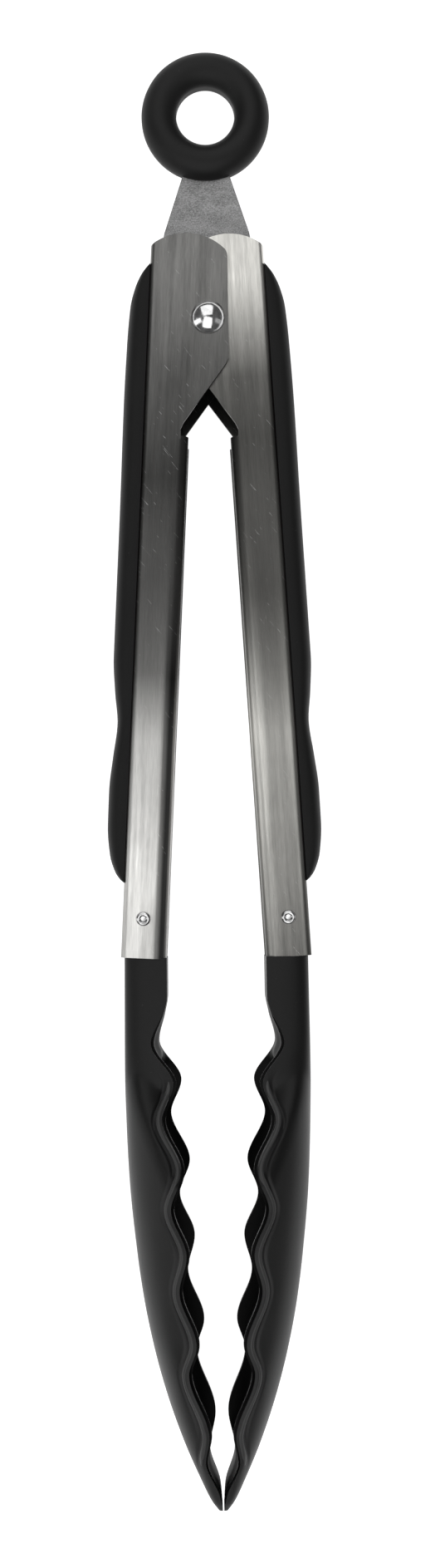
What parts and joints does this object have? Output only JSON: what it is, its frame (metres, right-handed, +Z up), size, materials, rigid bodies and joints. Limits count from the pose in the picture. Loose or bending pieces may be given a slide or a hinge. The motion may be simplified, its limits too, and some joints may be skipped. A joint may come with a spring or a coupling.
{
  "type": "spring loaded kitchen tongs",
  "caption": "Locking kitchen tongs with steel channel arms, soft grips, scalloped scoop tips with soft liners, a coil spring at the pivot and a pull ring that locks them closed.",
  "frame": {"origin": "on the surface the tongs lie on, under the middle of their bounding box", "axes": "+Y along the tongs towards the hang ring, +X to the right arm, +Z up from the surface"},
  "size_m": [0.0508, 0.3472, 0.0374],
  "materials": {
    "brushed_steel": "brushed along the arm",
    "raw_steel": "matte rolled sheet",
    "polished_steel": "polished",
    "spring_steel": "drawn wire",
    "ring_rubber": "soft matte",
    "grip_rubber": "soft matte, fine grain",
    "tip_nylon": "fine moulded texture",
    "liner_silicone": "smooth satin"
  },
  "bodies": {
    "pivot": {"pivot_rivet": "polished_steel", "torsion_spring": "spring_steel"},
    "left_arm": {"left_arm": "brushed_steel", "left_grip": "grip_rubber", "left_tip_shell": "tip_nylon", "left_tip_liner": "liner_silicone", "left_tip_rivet": "polished_steel"},
    "right_arm": {"right_arm": "brushed_steel", "right_grip": "grip_rubber", "right_tip_shell": "tip_nylon", "right_tip_liner": "liner_silicone", "right_tip_rivet": "polished_steel"},
    "lock": {"pull_tab": "raw_steel", "hang_ring": "ring_rubber"}
  },
  "joints": [
    {"name": "left_arm_hinge", "type": "hinge", "parent": "pivot", "child": "left_arm", "pos_m": [0, 0.10818, 0.01074], "axis": [0, -0.0341, -0.9994], "range_deg": [0, 13], "stiffness_Nm_per_rad": 0.4, "springref_deg": 20.05, "deforming": ["torsion_spring"]},
    {"name": "right_arm_hinge", "type": "hinge", "parent": "pivot", "child": "right_arm", "pos_m": [0, 0.10818, 0.01074], "axis": [0, 0.0341, 0.9994], "range_deg": [0, 13], "stiffness_Nm_per_rad": 0.4, "springref_deg": 20.05},
    {"name": "lock_slide", "type": "slide", "parent": "pivot", "child": "lock", "axis": [0, -0.9994, 0.0341], "range_m": [0, 0.015]}
  ],
  "couplings": [
    {"joint": "right_arm_hinge", "follows": "left_arm_hinge", "ratio": 1},
    {"joint": "lock_slide", "follows": "left_arm_hinge", "m_per_rad": 0.066109}
  ]
}
